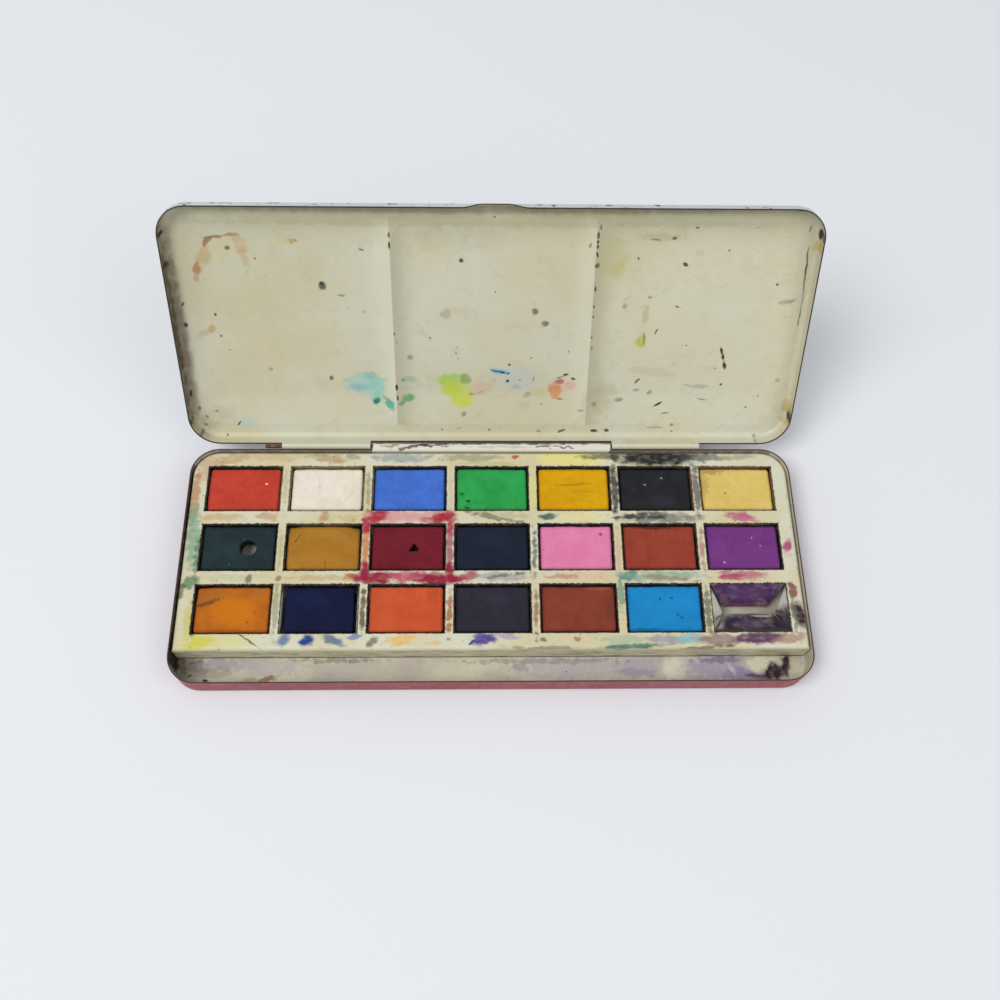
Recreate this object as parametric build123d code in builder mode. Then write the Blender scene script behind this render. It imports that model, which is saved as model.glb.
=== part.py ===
from build123d import *
import math
import os

# A vintage watercolour paint tin: a shallow pressed tray, a stamped plate that holds the
# paint cakes in bent tabs, a brush trough in front of the plate, and a hinged lid whose
# inside is dished into three mixing wells. The lid stands open, as an artist leaves it.
# The origin is the centre of the tray's underside, +Z up, the lid's hinge along X at +Y.

# Tray
tray_width = 240.0
tray_depth = 96.0
tray_height = 12.0
tray_corner = 11.0
tray_bend = 1.5
sheet = 0.4

# Plate that holds the cakes
plate_below_rim = 1.0
plate_clearance = 0.5
plate_seat = 0.2
plate_bend = 1.5
plate_front_corner = 2.0
trough_width = 12.2

# Windows and their tabs
window_columns = 7
window_rows = 3
window_margin_x = 5.9
window_margin_y = 6.15
window_rib_x = 2.85
window_rib_y = 5.1
window_corner = 0.5
slit_width = 0.8
slit_margin = 6.25
slit_forward = 1.3
tab_bend = 0.7
tab_side_gap = 0.4
tab_overlap = 0.3
end_tab_tip = 1.0
slack_rear_aim = 8.371
slack_front_angle = 13.5
slack_end_angle = 35.0

# Paint cakes
cake_clearance = 0.25
cake_thickness = 5.0
cake_below_plate = 1.0
cake_corner = 0.8
cake_edge = 0.5
cake_seat = 0.02
brush_hole = 6.5
chip_hole = 3.6

# Hinge
wire_radius = 0.8
wire_fit = 0.05
wire_stub = 6.8
wire_below_rim = 1.0
curl_clearance = 0.45
knuckle_half = 48.5
knuckle_gap = 0.5
knuckle_root = 2.5
knuckle_rise = 28.0
knuckle_wall_bend = 1.0
knuckle_sweep = 260.0
lid_tab_length = 35.5
lid_tab_bend = 1.1
lid_tab_sweep = 220.0

# Lid
lid_gap = 0.2
lid_lap = 0.9
lid_wall = 6.2
lid_bend = 2.5
lid_cut_clearance = 0.35
well_count = 3
well_rise = 2.0
well_margin_side = 6.5
well_margin_front = 6.9
well_margin_rear = 5.9
well_slope = 7.0
well_rear_slope = 13.0
well_rib = 0.6
well_corner = 9.0
well_floor_corner = 6.0
well_crease = 20.0
thumb_width = 25.0
thumb_out = 1.4
thumb_height = 3.2
thumb_centre = 0.7
lid_open_angle = 121.5

# Levels and places that follow from the sizes above
rear_face = tray_depth / 2
rim_level = tray_height
plate_top = tray_height - plate_below_rim
plate_foot = sheet + plate_seat
plate_rear = rear_face - sheet - plate_clearance
plate_front = sheet + trough_width - rear_face
plate_half_width = tray_width / 2 - sheet - plate_clearance
plate_corner = tray_corner - sheet - plate_clearance
window_pitch_x = (2 * (plate_half_width - window_margin_x) + window_rib_x) / window_columns
window_pitch_y = (plate_rear - plate_front - 2 * window_margin_y + window_rib_y) / window_rows
window_width = window_pitch_x - window_rib_x
window_depth = window_pitch_y - window_rib_y
cake_width = window_width - 2 * (tab_bend + cake_clearance)
cake_depth = window_depth - 2 * (tab_bend + cake_clearance)
cake_top = plate_top - cake_below_plate
cake_base = cake_top - cake_thickness
tab_foot_top = cake_base - cake_seat
grid_y = (plate_rear + plate_front) / 2
curl_inner = wire_radius + wire_fit
curl_outer = curl_inner + sheet
hinge_set_back = curl_outer + curl_clearance
hinge_y = rear_face + hinge_set_back
hinge_z = rim_level - wire_below_rim
lid_edge = rim_level - lid_lap
lid_width = tray_width + 2 * (lid_gap + sheet)
lid_depth = tray_depth + 2 * (lid_gap + sheet)
lid_corner = tray_corner + lid_gap + sheet
lid_ledge = lid_edge + lid_wall
lid_tab_start = knuckle_half + knuckle_gap
rear_tab_length = (window_depth - slit_width) / 2 + slit_forward
front_tab_length = (window_depth - slit_width) / 2 - slit_forward
side_tab_root = window_width - 2 * tab_side_gap
side_tab_tip = window_width - 2 * slit_margin
end_tab_root = window_depth - 2 * tab_side_gap
end_tab_length = slit_margin - tab_side_gap
# The empty window's rear tab points at a line on the tray's floor, so it stays above the floor
# in a shallower tray.
slack_rear_angle = math.degrees(math.atan2(plate_top - sheet, slack_rear_aim))


# The tray's form: a slab with round corners and a bent foot, drawn in from the sheet's outer
# face by inset.
def tray_form(inset):
    with BuildPart() as form:
        with BuildSketch(Plane.XY.offset(inset)):
            RectangleRounded(tray_width - 2 * inset, tray_depth - 2 * inset, tray_corner - inset)
        extrude(amount=tray_height - inset)
        fillet(form.edges().group_by(Axis.Z)[0], tray_bend - inset)
    return form.part


# The rolled part of a knuckle: a ring round the wire, open over the rest of the turn.
def curl_section(start_angle, sweep):
    centre = (hinge_y, hinge_z)
    with BuildSketch() as section:
        with BuildLine():
            outer = CenterArc(centre, curl_outer, start_angle, sweep)
            inner = CenterArc(centre, curl_inner, start_angle, sweep)
            Line(outer @ 0, inner @ 0)
            Line(outer @ 1, inner @ 1)
        make_face()
    return section.sketch


# The centre knuckle's section: the rear wall's top leans outward and rolls down round the wire.
def knuckle_section():
    rise = math.radians(knuckle_rise)
    reach = hinge_set_back - knuckle_wall_bend + sheet
    bend_start = (curl_outer - knuckle_wall_bend - math.sin(rise) * reach) / math.cos(rise)
    wall_inner = rear_face - sheet
    root = rim_level - knuckle_root
    touch = (hinge_y - curl_outer * math.sin(rise), hinge_z + curl_outer * math.cos(rise))
    with BuildSketch() as section:
        with BuildLine():
            wall = Line((wall_inner, root), (wall_inner, hinge_z + bend_start))
            bend = JernArc(wall @ 1, wall % 1, knuckle_wall_bend, knuckle_rise - 90)
            Line(bend @ 1, touch)
            offset(amount=sheet, side=Side.RIGHT)
        make_face()
        add(curl_section(90 + knuckle_rise - knuckle_sweep, knuckle_sweep))
    return section.sketch


with BuildPart() as base_tray:
    add(tray_form(0))
    add(tray_form(sheet), mode=Mode.SUBTRACT)
    # The wall's top is taken down where the knuckle's tongue leaves it.
    with BuildSketch(Plane.XY.offset(rim_level - knuckle_root)):
        with Locations((0, rear_face - sheet / 2)):
            Rectangle(2 * knuckle_half, 2 * sheet)
    extrude(amount=2 * knuckle_root, mode=Mode.SUBTRACT)
    with BuildSketch(Plane.YZ.offset(-knuckle_half)):
        add(knuckle_section())
    extrude(amount=2 * knuckle_half)
base_tray.part.label = "base_tray"


# The plate's form: round rear corners like the tray's, near-square front corners.
def plate_form(inset):
    half = plate_half_width - inset
    with BuildPart() as form:
        with BuildSketch(Plane.XY.offset(plate_foot)):
            with Locations((0, (plate_rear + plate_front) / 2)):
                Rectangle(2 * half, plate_rear - plate_front - 2 * inset)
            corners = vertices().group_by(Axis.Y)
            fillet(corners[-1], plate_corner - inset)
            fillet(corners[0], plate_front_corner - inset)
        extrude(amount=plate_top - plate_foot - inset)
        fillet(form.edges().group_by(Axis.Z)[-1], plate_bend - inset)
    return form.part


# A sheet strip bent along a path of (inward, up) points, with its faces as far apart as the
# sheet is thick. It is drawn for a window's front edge: the edge at y = 0, the plate's top at
# z = 0, and as wide as the tab's root.
def bent_strip(root, path):
    with BuildPart() as strip:
        with BuildSketch(Plane.YZ.offset(-root / 2)):
            with BuildLine():
                Polyline((-tab_overlap, 0), (0, 0), *path)
                offset(amount=sheet, side=Side.RIGHT, kind=Kind.INTERSECTION)
            make_face()
        extrude(amount=root)
    return strip.part


# The tab's outline seen along its own window edge's normal: full width at the root, narrower
# below, and with its low end moved sideways by shift.
def front_outline(root, low_width, depth, shift=0):
    with BuildSketch() as outline:
        Polygon(
            (-root / 2, 0), (root / 2, 0), (root / 2, -sheet), (shift + low_width / 2, -depth),
            (shift - low_width / 2, -depth), (-root / 2, -sheet), align=None,
        )
    return outline.sketch


# The tab's outline seen from above: full width to the knee, then narrowing to its tip, which is
# moved sideways by shift.
def top_outline(root, knee_width, knee, tip_width, tip, shift=0):
    with BuildSketch() as outline:
        Polygon(
            (-root / 2, -tab_overlap), (root / 2, -tab_overlap), (root / 2, knee),
            (knee_width / 2, knee), (shift + tip_width / 2, tip), (shift - tip_width / 2, tip),
            (-knee_width / 2, knee), (-root / 2, knee), align=None,
        )
    return outline.sketch


# A side tab of a filled window: bent down past the cake's long side, then in under it.
def side_tab(length):
    foot_level = tab_foot_top - plate_top
    foot_reach = length + foot_level + tab_bend
    depth = sheet - foot_level
    knee_width = side_tab_root - (side_tab_root - side_tab_tip) * depth / length
    path = [(tab_bend, -tab_bend), (tab_bend, foot_level), (foot_reach, foot_level)]
    with BuildPart() as tab:
        add(bent_strip(side_tab_root, path))
        with BuildSketch(Plane.XZ.offset(tab_overlap)):
            add(front_outline(side_tab_root, knee_width, depth))
        extrude(amount=-(foot_reach + tab_overlap), mode=Mode.INTERSECT)
        with BuildSketch(Plane.XY.offset(-depth)):
            add(top_outline(side_tab_root, knee_width, tab_bend, side_tab_tip, foot_reach))
        extrude(amount=depth, mode=Mode.INTERSECT)
    return tab.part


# An end tab of a filled window: a triangle bent straight down beside the cake's end.
def end_tab(shift):
    depth = end_tab_length + sheet
    with BuildPart() as tab:
        add(bent_strip(end_tab_root, [(tab_bend, -tab_bend), (tab_bend, -end_tab_length)]))
        with BuildSketch(Plane.XZ.offset(tab_overlap)):
            add(front_outline(end_tab_root, end_tab_tip, depth, shift))
        extrude(amount=-(tab_bend + tab_overlap), mode=Mode.INTERSECT)
    return tab.part


# A tab of the empty window: pressed down at a slant, with nothing to fold it in under.
def slack_tab(root, tip_width, length, angle, shift=0):
    reach = length * math.cos(math.radians(angle))
    drop = length * math.sin(math.radians(angle))
    depth = drop + sheet
    with BuildPart() as tab:
        add(bent_strip(root, [(reach, -drop)]))
        with BuildSketch(Plane.XY.offset(-depth)):
            add(top_outline(root, root, 0, tip_width, reach, shift))
        extrude(amount=depth, mode=Mode.INTERSECT)
    return tab.part


# The four tabs round one window, each placed at its own edge of the opening.
def window_tabs(front, rear, left, right):
    with BuildPart() as tabs:
        with Locations((0, -window_depth / 2)):
            add(front)
        with Locations(Location((0, window_depth / 2), (0, 0, 180))):
            add(rear)
        with Locations(Location((-window_width / 2, 0), (0, 0, -90))):
            add(left)
        with Locations(Location((window_width / 2, 0), (0, 0, 90))):
            add(right)
    return tabs.part


# The places of the windows, row by row from the back, left to right.
window_places = []
for row in range(window_rows):
    for column in range(window_columns):
        place_x = (column - (window_columns - 1) / 2) * window_pitch_x
        place_y = grid_y + ((window_rows - 1) / 2 - row) * window_pitch_y
        window_places.append((place_x, place_y))
open_place = window_places[-1]

with BuildPart() as pan_plate:
    add(plate_form(0))
    add(plate_form(sheet), mode=Mode.SUBTRACT)
    with BuildSketch(Plane.XY.offset(plate_top)):
        with Locations(*window_places):
            RectangleRounded(window_width, window_depth, window_corner)
    extrude(amount=-2 * sheet, mode=Mode.SUBTRACT)
    filled_tabs = window_tabs(
        side_tab(front_tab_length), side_tab(rear_tab_length),
        end_tab(slit_forward), end_tab(-slit_forward),
    )
    slack_tabs = window_tabs(
        slack_tab(side_tab_root, side_tab_tip, front_tab_length, slack_front_angle),
        slack_tab(side_tab_root, side_tab_tip, rear_tab_length, slack_rear_angle),
        slack_tab(end_tab_root, end_tab_tip, end_tab_length, slack_end_angle, slit_forward),
        slack_tab(end_tab_root, end_tab_tip, end_tab_length, slack_end_angle, -slit_forward),
    )
    with Locations(*[(x, y, plate_top) for x, y in window_places[:-1]]):
        add(filled_tabs)
    with Locations((open_place[0], open_place[1], plate_top)):
        add(slack_tabs)
pan_plate.part.label = "pan_plate"

# The wire that the hinge turns on. Its left end stands clear of the lid's left tab.
wire_left = -(lid_tab_start + lid_tab_length + wire_stub)
wire_right = lid_tab_start + lid_tab_length
with BuildPart() as hinge_wire:
    with BuildSketch(Plane.YZ.offset(wire_left)):
        with Locations((hinge_y, hinge_z)):
            Circle(wire_radius)
    extrude(amount=wire_right - wire_left)
    chamfer(hinge_wire.edges().filter_by(GeomType.CIRCLE), wire_radius / 4)
hinge_wire.part.label = "hinge_wire"


# One mixing well as a frustum: its outline at the ledge, its smaller floor above it. The rear
# slope is the longest, so paint runs down to the front when the lid stands open.
def well_form(centre_x, ledge_level):
    well_pitch = (lid_width - 2 * well_margin_side) / well_count
    front = well_margin_front - lid_depth / 2
    rear = lid_depth / 2 - well_margin_rear
    width = well_pitch - well_rib
    with BuildPart() as well:
        with BuildSketch(Plane.XY.offset(ledge_level)):
            with Locations((centre_x, (front + rear) / 2)):
                RectangleRounded(width, rear - front, well_corner)
        with BuildSketch(Plane.XY.offset(ledge_level + well_rise)):
            with Locations((centre_x, (front + well_slope + rear - well_rear_slope) / 2)):
                RectangleRounded(
                    width - 2 * well_slope, rear - front - well_slope - well_rear_slope,
                    well_floor_corner,
                )
        loft()
    return well.part


# The lid's form as if closed, drawn in from the sheet's outer face by inset.
def lid_form(inset):
    ledge_level = lid_ledge - inset
    well_pitch = (lid_width - 2 * well_margin_side) / well_count
    with BuildPart() as form:
        with BuildSketch(Plane.XY.offset(lid_edge)):
            RectangleRounded(lid_width - 2 * inset, lid_depth - 2 * inset, lid_corner - inset)
        extrude(amount=lid_wall - inset)
        fillet(form.edges().group_by(Axis.Z)[-1], lid_bend - inset)
        for index in range(well_count):
            add(well_form((index - (well_count - 1) / 2) * well_pitch, ledge_level))
        floors = form.faces().filter_by(Axis.Z).group_by(Axis.Z)[-1]
        fillet(floors.edges(), well_crease)
    return form.part


# The thumb lip's plan: the front edge swells forward between two S-curves.
def thumb_plan(swell, inset):
    base_y = -lid_depth / 2 + sheet + inset
    half = thumb_width / 2
    flat = half / 3
    middle = (half + flat) / 2
    with BuildSketch() as plan:
        with BuildLine():
            out = -lid_depth / 2 + inset - swell
            edge = -lid_depth / 2 + inset
            right = Line((thumb_centre + half, base_y), (thumb_centre + half, edge))
            turn = TangentArc(right @ 1, (thumb_centre + middle, (edge + out) / 2), tangent=(-1, 0))
            crest = TangentArc(turn @ 1, (thumb_centre + flat, out), tangent=turn % 1)
            front = Line(crest @ 1, (thumb_centre - flat, out))
            fall = TangentArc(front @ 1, (thumb_centre - middle, (edge + out) / 2), tangent=(-1, 0))
            foot = TangentArc(fall @ 1, (thumb_centre - half, edge), tangent=fall % 1)
            left = Line(foot @ 1, (thumb_centre - half, base_y))
            Line(left @ 1, right @ 0)
        make_face()
    return plan.sketch


# The lip flares out of the skirt: full swell at the edge, almost none at its top.
def thumb_form(inset):
    with BuildPart() as thumb:
        with BuildSketch(Plane.XY.offset(lid_edge)):
            add(thumb_plan(thumb_out, inset))
        with BuildSketch(Plane.XY.offset(lid_edge + thumb_height)):
            add(thumb_plan(sheet / 4, inset))
        loft()
    return thumb.part


# A lid tab's section: the rear skirt turns outward and rolls up round the wire.
def lid_tab_section():
    skirt_inner = rear_face + lid_gap
    flange_level = hinge_z - curl_outer
    with BuildSketch() as section:
        with BuildLine():
            skirt = Line((skirt_inner, lid_ledge - lid_bend), (skirt_inner, flange_level + lid_tab_bend))
            bend = JernArc(skirt @ 1, skirt % 1, lid_tab_bend, 90)
            Line(bend @ 1, (hinge_y, flange_level))
            offset(amount=sheet, side=Side.LEFT)
        make_face()
        add(curl_section(-90, lid_tab_sweep))
    return section.sketch


with BuildPart() as closed_lid:
    add(lid_form(0))
    add(thumb_form(0))
    add(lid_form(sheet), mode=Mode.SUBTRACT)
    add(thumb_form(sheet), mode=Mode.SUBTRACT)
    # Between the tabs the rear skirt is cut back, so that it swings clear of the knuckle.
    rise = math.radians(knuckle_rise)
    skirt_to_wire = hinge_set_back - lid_gap - sheet
    knuckle_top = hinge_z + curl_outer / math.cos(rise) - skirt_to_wire * math.tan(rise)
    cut_height = knuckle_top + lid_cut_clearance - lid_edge
    with BuildSketch(Plane.XY.offset(lid_edge)):
        with Locations((0, lid_depth / 2 - sheet / 2)):
            Rectangle(2 * lid_tab_start, 3 * sheet)
    extrude(amount=cut_height, mode=Mode.SUBTRACT)
    for start in (-lid_tab_start - lid_tab_length, lid_tab_start):
        with BuildSketch(Plane.YZ.offset(start)):
            add(lid_tab_section())
        extrude(amount=lid_tab_length)

hinge_axis = Axis((0, hinge_y, hinge_z), (1, 0, 0))
with BuildPart() as lid:
    add(closed_lid.part.rotate(hinge_axis, -lid_open_angle))
lid.part.label = "lid"

# The paint cakes, row by row from the back, left to right. The last window holds none.
cake_names = [
    "cake_vermilion", "cake_white", "cake_cobalt_blue", "cake_green", "cake_golden_yellow",
    "cake_black", "cake_pale_yellow",
    "cake_viridian", "cake_ochre", "cake_crimson", "cake_indigo", "cake_pink",
    "cake_red_brown", "cake_violet",
    "cake_orange_yellow", "cake_prussian_blue", "cake_orange_red", "cake_grey_black",
    "cake_brown", "cake_cerulean",
]

os.makedirs("parts", exist_ok=True)
for name, (place_x, place_y) in zip(cake_names, window_places):
    with BuildPart() as cake:
        with BuildSketch(Plane.XY.offset(cake_base)):
            with Locations((place_x, place_y)):
                Rectangle(cake_width, cake_depth)
            chamfer(vertices(), cake_corner)
        extrude(amount=cake_thickness)
        chamfer(cake.faces().sort_by(Axis.Z)[-1].edges(), cake_edge)
        # Two cakes are worn right through to the tray's floor.
        if name == "cake_viridian":
            with BuildSketch(Plane.XY.offset(cake_base)):
                with Locations((place_x + cake_width / 8, place_y)):
                    Circle(brush_hole / 2)
            extrude(amount=cake_thickness, mode=Mode.SUBTRACT)
        if name == "cake_crimson":
            with BuildSketch(Plane.XY.offset(cake_base)):
                with Locations((place_x + cake_width / 12, place_y)):
                    RegularPolygon(chip_hole / 2, 3, rotation=90)
            extrude(amount=cake_thickness, mode=Mode.SUBTRACT)
    cake.part.label = name
    export_step(cake.part, "parts/" + name + ".step")

for piece in (base_tray, pan_plate, hinge_wire, lid):
    export_step(piece.part, "parts/" + piece.part.label + ".step")
    print(piece.part.label, round(piece.part.volume), "cubic mm")
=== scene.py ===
# %% [markdown]
# # A watercolour paint tin
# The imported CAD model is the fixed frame: a pressed tray, a stamped plate that holds twenty paint
# cakes, a hinge wire, and a lid that stands open. Everything below is in metres, in that frame.

# %% Load the frame
from functools import partial
import math
import bpy
from mathutils import Matrix, Vector


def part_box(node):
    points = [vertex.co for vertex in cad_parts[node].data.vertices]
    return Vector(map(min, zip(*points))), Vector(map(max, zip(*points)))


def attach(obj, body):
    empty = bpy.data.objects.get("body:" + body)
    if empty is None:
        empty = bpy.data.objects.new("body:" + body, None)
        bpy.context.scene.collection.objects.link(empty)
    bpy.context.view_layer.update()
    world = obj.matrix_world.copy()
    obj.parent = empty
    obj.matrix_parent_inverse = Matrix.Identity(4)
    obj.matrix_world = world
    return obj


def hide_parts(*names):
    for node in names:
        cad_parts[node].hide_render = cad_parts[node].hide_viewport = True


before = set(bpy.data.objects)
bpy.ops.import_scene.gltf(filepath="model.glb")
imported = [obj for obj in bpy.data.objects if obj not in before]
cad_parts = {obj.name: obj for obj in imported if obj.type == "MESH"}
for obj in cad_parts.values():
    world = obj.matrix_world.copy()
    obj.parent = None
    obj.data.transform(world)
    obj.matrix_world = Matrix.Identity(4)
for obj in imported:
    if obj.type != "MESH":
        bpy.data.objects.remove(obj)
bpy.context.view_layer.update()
MM = 0.001

# %% [markdown]
# ## The camera
# The photograph looks down on the open tin from the painter's side, steeply, and a little tilted.
# Its place was found by matching the plate's window corners and the rims, so the camera is built
# from its height angle, its turn to the side and its tilt, round the point that it looks at.

# %% Place the camera
look_at = Vector((3.2, 25.3, 12)) * MM
camera_distance = 410.6 * MM
height_angle = math.radians(65.27)
side_angle = math.radians(-3.23)
tilt = math.radians(2.905)
focal_mm = 37.35

flat = math.cos(height_angle)
away = Vector((flat * math.sin(side_angle), -flat * math.cos(side_angle), math.sin(height_angle)))
eye = look_at + away * camera_distance
forward = -away
level_right = forward.cross(Vector((0, 0, 1))).normalized()
level_up = level_right.cross(forward)
right = math.cos(tilt) * level_right + math.sin(tilt) * level_up
up = math.cos(tilt) * level_up - math.sin(tilt) * level_right

bpy.ops.object.camera_add()
camera = bpy.context.object
camera.name = "camera"
camera.matrix_world = Matrix.Translation(eye) @ Matrix((right, up, -forward)).transposed().to_4x4()
camera.data.sensor_width = 36
camera.data.lens = focal_mm
camera.data.clip_start = 0.01
bpy.context.scene.camera = camera
print("camera at", [round(c, 3) for c in eye])

# %% [markdown]
# ## Helpers for colour and nodes
# Colours are read off the object as sRGB hex values, and Blender wants them linear. A socket is
# given another node's output, a number, or a colour in hex. One helper adds a node with its
# settings and its links, so that each material reads from top to bottom. A name in capitals alone
# is the operation of a Math node.

# %% Colour and node helpers
def linear(code):
    parts = [int(code[i:i + 2], 16) / 255 for i in (0, 2, 4)]
    return tuple(p / 12.92 if p <= 0.04045 else ((p + 0.055) / 1.055) ** 2.4 for p in parts) + (1,)

def set_inputs(node, values):
    for socket, value in values.items():
        if isinstance(value, bpy.types.NodeSocket):
            node.id_data.links.new(value, node.inputs[socket])
        elif isinstance(value, str):
            node.inputs[socket].default_value = linear(value)
        else:
            node.inputs[socket].default_value = value

def add_node(tree, kind, *values, out=0, **settings):
    if kind.isupper():
        kind = "Math " + kind
    kind, _, operation = kind.partition(" ")
    node = tree.nodes.new("ShaderNode" + kind)
    if operation:
        node.operation = operation
    given_values = dict(enumerate(values))
    for name, value in settings.items():
        socket = name.replace("_", " ")
        if socket in node.inputs:
            given_values[socket] = value
        else:
            setattr(node, name, value)
    set_inputs(node, given_values)
    return node.outputs[out]

def start_material(name):
    material = bpy.data.materials.new(name)
    material.use_nodes = True
    tree = material.node_tree
    return material, partial(add_node, tree), tree.nodes["Principled BSDF"]

def finish_surface(add, shader, colour, gloss, height, depth, strength, specular=0.5):
    bump = add("Bump", Height=height, Distance=depth, Strength=strength)
    set_inputs(shader, {"Base Color": colour, "Roughness": gloss, "Normal": bump,
                        "Specular IOR Level": specular})

def coat(piece, material):
    piece.data.materials.clear()
    piece.data.materials.append(material)

def coat_part(node, material):
    coat(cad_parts[node], material)
    print(node, "has", material.name, "of", len(material.node_tree.nodes), "nodes")

print("a mid grey is", [round(c, 3) for c in linear("808080")])

# %% [markdown]
# ## Floor and light
# The tin stands on white board in soft light from above, a little from the left, which leaves a
# faint shadow on its right. A large area lamp, a weaker one opposite and an even sky give that, at
# a level where a colour renders about as it is written. The board's colour sets the background.

# %% Floor and light
bpy.ops.mesh.primitive_plane_add(size=6)
floor = bpy.context.object
floor.name = "floor"
board, add, shader = start_material("matt_white_board")
set_inputs(shader, {"Base Color": "E3E5E9", "Roughness": 0.9})
coat(floor, board)

world = bpy.data.worlds.new("soft_room")
bpy.context.scene.world = world
world.use_nodes = True
sky = world.node_tree.nodes["Background"]
set_inputs(sky, {"Color": (0.96, 0.98, 1, 1), "Strength": 0.5})

def add_area(name, place, size, power):
    bpy.ops.object.light_add(type="AREA", location=place)
    lamp = bpy.context.object
    lamp.name = name
    lamp.data.size = size
    lamp.data.energy = power
    to_tin = Vector((0, 0.03, 0)) - Vector(place)
    lamp.rotation_euler = to_tin.to_track_quat("-Z", "Y").to_euler()

add_area("window_light", (-1.2, -0.6, 2.2), size=1.3, power=36)
add_area("fill_light", (1.4, -0.9, 1.7), size=1.6, power=10)
bpy.context.scene.view_settings.view_transform = "Standard"

# %% [markdown]
# ## Paint marks
# Years of wet brushes have left paint on the plate, in the trough and in the lid's wells. A mark is
# a small ellipse of thin paint with a ragged edge: a point is turned and scaled into the mark's own
# measure, its distance from the centre is roughened by noise, and the paint is laid over what is
# there. One node group does that, and a short list places the marks. Each says, in millimetres,
# its x and y and its reach along each, then its colour, its strength in percent, its raggedness in
# tenths and, where it is turned, by how many degrees.

# %% One paint mark as a node group
mark_group = bpy.data.node_groups.new("paint_mark", "ShaderNodeTree")
mark_inputs = {"Color": ("Under", "Paint"), "Vector": ("Point", "Centre", "Turn", "Reach"),
               "Float": ("Rough", "Ragged", "Strength")}
for kind, names in mark_inputs.items():
    for name in names:
        mark_group.interface.new_socket(name, in_out="INPUT", socket_type="NodeSocket" + kind)
mark_group.interface.new_socket("Result", in_out="OUTPUT", socket_type="NodeSocketColor")
mark_group.interface.new_socket("Same Point", in_out="OUTPUT", socket_type="NodeSocketVector")
given = mark_group.nodes.new("NodeGroupInput").outputs
add = partial(add_node, mark_group)
own = add("Mapping", given["Point"], given["Centre"], given["Turn"], given["Reach"],
          vector_type="TEXTURE")
away_from = add("VectorMath LENGTH", own, out="Value")
rough_edge = add("MULTIPLY_ADD", given["Rough"], given["Ragged"], away_from)
cover = add("MapRange", rough_edge, 1.35, 0.6, 0, given["Strength"],
            interpolation_type="SMOOTHSTEP")
# where the edge is drawn in, the paint is thin too
thickness = add("MapRange", given["Rough"], -0.1, 0.7, 1, 0.75)
cover = add("MULTIPLY", cover, thickness)
laid = add("MixRGB", cover, given["Under"], given["Paint"])
# The point goes on to the next mark with a trace of this mark's colour, too small to move it, so
# that the renderer works the marks out one after the other and keeps few values at a time.
passed_on = add("VectorMath MULTIPLY_ADD", laid, (1e-9, 1e-9, 1e-9), given["Point"])
result = mark_group.nodes.new("NodeGroupOutput")
set_inputs(result, {"Result": laid, "Same Point": passed_on})

def lay_marks(add, under, point, rough, marks):
    for x, y, reach_x, reach_y, paint, strength, ragged, *turn in marks:
        angle = math.radians(turn[0]) if turn else 0
        under = add("Group", node_tree=mark_group, Under=under, Point=point, Rough=rough,
                    Paint=paint, Centre=(x, y, 0), Turn=(0, 0, angle),
                    Reach=(reach_x, reach_y, 1e6), Ragged=ragged / 10, Strength=strength / 100)
        point = under.node.outputs["Same Point"]
    return under

print("paint mark group:", len(mark_group.nodes), "nodes")

# %% [markdown]
# ## Places in millimetres
# Every enamel material needs the same start: the point in millimetres, the same point pushed about
# a little by noise so that edges wander, a rough value for ragged edges, and sparse specks. A
# Vector Math node scales metres to millimetres, so each pattern's scale is one over its real size.

# %% Points, noise and specks
def millimetre_point(add):
    return add("VectorMath SCALE", add("TexCoord", out="Object"), Scale=1 / MM)

def wandering_point(add, point, size, push):
    drift = add("TexNoise", point, Scale=1 / size, Detail=1, out="Color")
    centred = add("VectorMath SUBTRACT", drift, (0.5, 0.5, 0.5))
    return add("VectorMath MULTIPLY_ADD", centred, (push, push, push), point)

def rough_value(add, point, size, height=0.7):
    noise = add("TexNoise", point, Scale=1 / size, Detail=2, Roughness=0.5)
    return add("MapRange", noise, 0.3, 0.7, -height, height, clamp=False)

def streak_noise(add, point, squeeze, **settings):
    return add("TexNoise", add("VectorMath MULTIPLY", point, squeeze), Scale=1, **settings)

def two_tone(add, value, low, high, first, second, most=1):
    return add("MixRGB", add("MapRange", value, low, high, 0, most), first, second)

def lay_specks(add, under, point, spacing, radius, share, paint):
    cells = add("TexVoronoi", point, Scale=1 / spacing, out="Color")
    chosen = add("LESS_THAN", add("SeparateColor", cells), share)
    distance = cells.node.outputs["Distance"]
    near = add("MapRange", distance, radius / spacing, 0.6 * radius / spacing)
    return add("MixRGB", add("MULTIPLY", chosen, near), under, paint)

def distance_from(add, place, centre):
    return add("ABSOLUTE", add("SUBTRACT", place, centre))

print("helpers for places and noise are ready")

# %% [markdown]
# ## The stamped plate: stove enamel on tinplate, well used
# The plate is cream enamel, hard and a little glossy, gone yellow and grey with handling. It wears
# at its window edges, where the enamel chips to dark steel, and the edges carry painted shade too.
# The gaps round the cakes are near black: dried paint with painted shade. The material works out
# how far a point is from the nearest window edge, because the windows repeat at a fixed pitch, and
# adds chips and painted shade there. Below the top it turns to that near black, but not in the
# empty window, where the bent tabs carry old purple paint.

# %% Sizes of the plate that its material needs
pitch_x, pitch_y = 32.75, 25.1
window_half_x, window_half_y = 14.95, 10
grid_y = 5.85
open_x, open_y = 3 * pitch_x, grid_y - pitch_y
outer_wall_x, outer_wall_y = 116.6, 38.3
plate_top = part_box("pan_plate")[1].z / MM
print("plate top at", round(plate_top, 2), "mm")

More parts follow.
